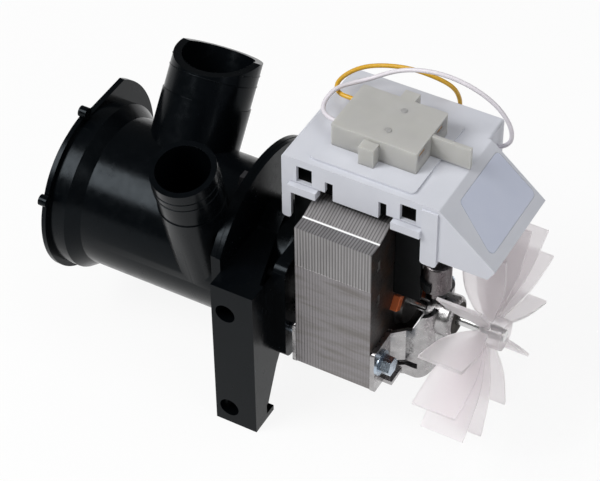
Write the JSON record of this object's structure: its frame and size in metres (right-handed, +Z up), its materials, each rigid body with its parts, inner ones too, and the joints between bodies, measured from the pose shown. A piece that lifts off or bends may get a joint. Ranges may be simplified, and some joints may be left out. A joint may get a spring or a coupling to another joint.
{
  "type": "washer drain pump",
  "caption": "Drain pump of a washing machine: filter housing with nozzles, two-hole leg, laminated skeleton motor, terminal cover, wires and cooling fan.",
  "frame": {"origin": "middle of the two fixing holes on the leg's front face", "axes": "+X along the shaft from the filter mouth to the fan, +Y into the machine, +Z up"},
  "size_m": [0.1965, 0.1034, 0.1498],
  "materials": {
    "black_plastic": "fine moulded satin",
    "bobbin_plastic": "matt",
    "white_plastic": "satin",
    "label_foil": "satin, blank",
    "milky_plastic": "translucent satin",
    "terminal_brass": "plain",
    "fan_plastic": "translucent satin",
    "cap_plastic": "satin",
    "basket_plastic": "satin",
    "seal_rubber": "matt",
    "zinc_steel": "blue zinc plate",
    "dark_steel": "black phosphate",
    "lamination_steel": "stamped sheet edges",
    "rotor_steel": "turned",
    "copper": "plain copper",
    "copper_wire": "enamelled copper",
    "coil_tape": "smooth tape",
    "protector_can": "dark satin",
    "bracket_steel": "pressed, zinc plated",
    "bush_bronze": "sintered",
    "oiled_felt": "oiled",
    "ground_steel": "ground",
    "spring_steel": "dark",
    "washer_plastic": "plain",
    "impeller_plastic": "moulded",
    "yellow_insulation": "satin",
    "white_insulation": "satin"
  },
  "bodies": {
    "pump": {"pump_body": "black_plastic", "motor_carrier": "black_plastic", "coil_bobbin": "bobbin_plastic", "terminal_cover": "white_plastic", "rating_label": "label_foil", "plug_housing": "milky_plastic", "plug_terminals": "terminal_brass", "coil_pins": "terminal_brass", "volute_seal": "seal_rubber", "shaft_seal": "seal_rubber", "joint_screws": "dark_steel", "stack_bolts": "zinc_steel", "stator_core": "lamination_steel", "yoke_core": "lamination_steel", "shading_rings": "copper", "coil_winding": "copper_wire", "coil_tape": "coil_tape", "thermal_protector": "protector_can", "front_bracket": "bracket_steel", "rear_bracket": "bracket_steel", "front_bush": "bush_bronze", "rear_bush": "bush_bronze", "rear_felt": "oiled_felt", "yellow_wire": "yellow_insulation", "white_wire": "white_insulation"},
    "rotor": {"shaft": "ground_steel", "shaft_circlip": "spring_steel", "shaft_washers": "washer_plastic", "rotor_core": "rotor_steel", "cooling_fan": "fan_plastic", "impeller": "impeller_plastic"},
    "basket": {"filter_basket": "basket_plastic"},
    "cap": {"filter_cap": "cap_plastic", "cap_seal": "seal_rubber"}
  },
  "joints": [
    {"name": "rotor_spin", "type": "hinge", "parent": "pump", "child": "rotor", "pos_m": [0, 0.047, 0.022], "axis": [1, 0, 0], "continuous": true},
    {"name": "filter_pull", "type": "slide", "parent": "pump", "child": "basket", "axis": [-1, 0, 0], "range_m": [0, 0.064]},
    {"name": "cap_turn", "type": "hinge", "parent": "basket", "child": "cap", "pos_m": [-0.09, 0.047, 0.022], "axis": [-1, 0, 0], "range_deg": [0, 90]}
  ]
}
